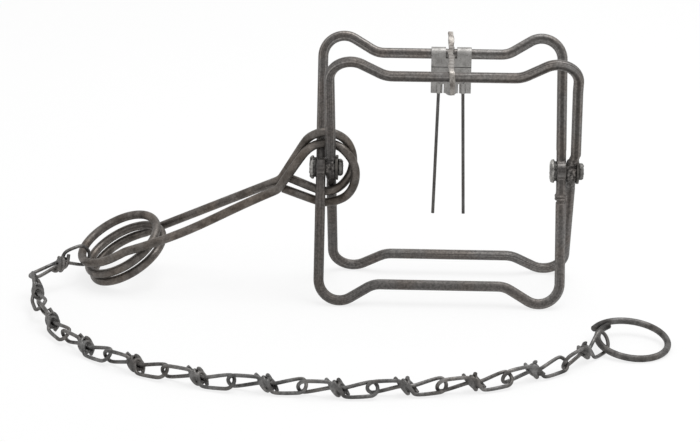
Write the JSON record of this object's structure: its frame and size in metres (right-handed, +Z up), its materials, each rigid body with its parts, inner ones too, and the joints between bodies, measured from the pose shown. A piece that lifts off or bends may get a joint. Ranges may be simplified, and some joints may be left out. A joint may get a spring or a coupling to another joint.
{
  "type": "body-gripping trap",
  "caption": "Set body-gripping trap with two square rod jaws on rivet pivots, a coil spring with eyes round the jaws, a dog and wire trigger, and a wire chain with an end ring.",
  "frame": {"origin": "on the ground, straight below the middle of the pivot line between the two rivets", "axes": "+X along the pivot line from the spring side to the free side, +Y to the rear, away from the chain, +Z up"},
  "size_m": [0.3131, 0.1755, 0.1263],
  "materials": {
    "jaw_steel": "dark oiled rod with drawing streaks",
    "spring_steel": "dark brown heat-tempered wire",
    "zinc_steel": "pale dull zinc",
    "dark_steel": "dark bare steel",
    "chain_steel": "mid grey bare wire"
  },
  "bodies": {
    "spring": {"spring_coil": "spring_steel"},
    "front_arm": {"spring_front_arm": "spring_steel"},
    "rear_arm": {"spring_rear_arm": "spring_steel"},
    "pivots": {"left_rivet": "zinc_steel", "right_rivet": "zinc_steel", "left_washer": "dark_steel", "right_washer": "dark_steel", "left_spacer": "dark_steel", "right_spacer": "dark_steel"},
    "front_jaw": {"front_jaw": "jaw_steel"},
    "rear_jaw": {"rear_jaw": "jaw_steel"},
    "trigger": {"trigger_plate": "zinc_steel", "trigger_wire_left": "dark_steel", "trigger_wire_right": "dark_steel"},
    "dog": {"dog": "zinc_steel"},
    "chain_link_01": {"chain_link_01": "chain_steel"},
    "chain_link_02": {"chain_link_02": "chain_steel"},
    "chain_link_03": {"chain_link_03": "chain_steel"},
    "chain_link_04": {"chain_link_04": "chain_steel"},
    "chain_link_05": {"chain_link_05": "chain_steel"},
    "chain_link_06": {"chain_link_06": "chain_steel"},
    "chain_link_07": {"chain_link_07": "chain_steel"},
    "chain_link_08": {"chain_link_08": "chain_steel"},
    "chain_link_09": {"chain_link_09": "chain_steel"},
    "chain_link_10": {"chain_link_10": "chain_steel"},
    "chain_link_11": {"chain_link_11": "chain_steel"},
    "chain_link_12": {"chain_link_12": "chain_steel"},
    "chain_ring": {"chain_ring": "chain_steel"}
  },
  "joints": [
    {"name": "spring_swing", "type": "hinge", "parent": "spring", "child": "pivots", "pos_m": [-0.0595, 0, 0.06313], "axis": [0, 1, 0], "range_deg": [-9, 12]},
    {"name": "front_jaw_swing", "type": "hinge", "parent": "pivots", "child": "front_jaw", "pos_m": [0, 0, 0.06313], "axis": [1, 0, 0], "range_deg": [0, 62]},
    {"name": "rear_jaw_swing", "type": "hinge", "parent": "pivots", "child": "rear_jaw", "pos_m": [0, 0, 0.06313], "axis": [1, 0, 0], "range_deg": [-62, 0]},
    {"name": "dog_swing", "type": "hinge", "parent": "front_jaw", "child": "dog", "pos_m": [0, -0.02254, 0.11625], "axis": [1, 0, 0], "range_deg": [0, 93]},
    {"name": "trigger_swing", "type": "hinge", "parent": "rear_jaw", "child": "trigger", "pos_m": [0, 0.02254, 0.11625], "axis": [1, 0, 0], "range_deg": [-25, 25]},
    {"name": "front_arm_spread", "type": "hinge", "parent": "spring", "child": "front_arm", "pos_m": [-0.1624, 0.0056, 0.01624], "axis": [-0.4234, -0.2317, 0.8758], "range_deg": [-6.2, 0], "deforming": ["spring_coil"]},
    {"name": "rear_arm_spread", "type": "hinge", "parent": "spring", "child": "rear_arm", "pos_m": [-0.1624, 0.0056, 0.01624], "axis": [-0.4234, -0.2317, 0.8758], "range_deg": [0, 6.2]},
    {"name": "chain_joint_01", "type": "hinge", "parent": "spring", "child": "chain_link_01", "pos_m": [-0.1833, -0.00273, 0.01445], "axis": [0, 0, 1], "range_deg": [-10, 4]},
    {"name": "chain_joint_02", "type": "hinge", "parent": "chain_link_01", "child": "chain_link_02", "pos_m": [-0.20486, -0.02355, 0.01074], "axis": [0, 0, -1], "range_deg": [-10, 10]},
    {"name": "chain_joint_03", "type": "hinge", "parent": "chain_link_02", "child": "chain_link_03", "pos_m": [-0.19401, -0.05599, 0.00781], "axis": [0.8572, 0.515, 0], "range_deg": [-15, 0]},
    {"name": "chain_joint_04", "type": "hinge", "parent": "chain_link_03", "child": "chain_link_04", "pos_m": [-0.1771, -0.08412, 0.00432], "axis": [0, 0, 1], "range_deg": [-10, 6]},
    {"name": "chain_joint_05", "type": "hinge", "parent": "chain_link_04", "child": "chain_link_05", "pos_m": [-0.15337, -0.10704, 0.00445], "axis": [0.5075, 0.8616, 0], "range_deg": [-15, 0]},
    {"name": "chain_joint_06", "type": "hinge", "parent": "chain_link_05", "child": "chain_link_06", "pos_m": [-0.12493, -0.12379, 0.00445], "axis": [0, 0, -1], "range_deg": [-6, 10]},
    {"name": "chain_joint_07", "type": "hinge", "parent": "chain_link_06", "child": "chain_link_07", "pos_m": [-0.0935, -0.13387, 0.00445], "axis": [0.1132, 0.9936, 0], "range_deg": [-15, 0]},
    {"name": "chain_joint_08", "type": "hinge", "parent": "chain_link_07", "child": "chain_link_08", "pos_m": [-0.06131, -0.13596, 0.00445], "axis": [0, 0, 1], "range_deg": [-10, 3]},
    {"name": "chain_joint_09", "type": "hinge", "parent": "chain_link_08", "child": "chain_link_09", "pos_m": [-0.02962, -0.1375, 0.00445], "axis": [-0.1478, 0.989, 0], "range_deg": [-15, 0]},
    {"name": "chain_joint_10", "type": "hinge", "parent": "chain_link_09", "child": "chain_link_10", "pos_m": [0.00061, -0.13122, 0.00445], "axis": [0, 0, -1], "range_deg": [-2, 16]},
    {"name": "chain_joint_11", "type": "hinge", "parent": "chain_link_10", "child": "chain_link_11", "pos_m": [0.0299, -0.12215, 0.00445], "axis": [-0.5446, 0.8387, 0], "range_deg": [-15, 0]},
    {"name": "chain_joint_12", "type": "hinge", "parent": "chain_link_11", "child": "chain_link_12", "pos_m": [0.05558, -0.10343, 0.00445], "axis": [0, 0, 1], "range_deg": [-18, 6]},
    {"name": "ring_joint", "type": "hinge", "parent": "chain_link_12", "child": "chain_ring", "pos_m": [0.07286, -0.08132, 0.00603], "axis": [0.6157, 0.788, 0], "range_deg": [-12, 0]}
  ],
  "couplings": [
    {"joint": "rear_jaw_swing", "follows": "front_jaw_swing", "ratio": -1},
    {"joint": "dog_swing", "follows": "front_jaw_swing", "ratio": 1.5},
    {"joint": "front_arm_spread", "follows": "front_jaw_swing", "ratio": -0.1},
    {"joint": "rear_arm_spread", "follows": "front_jaw_swing", "ratio": 0.1}
  ]
}
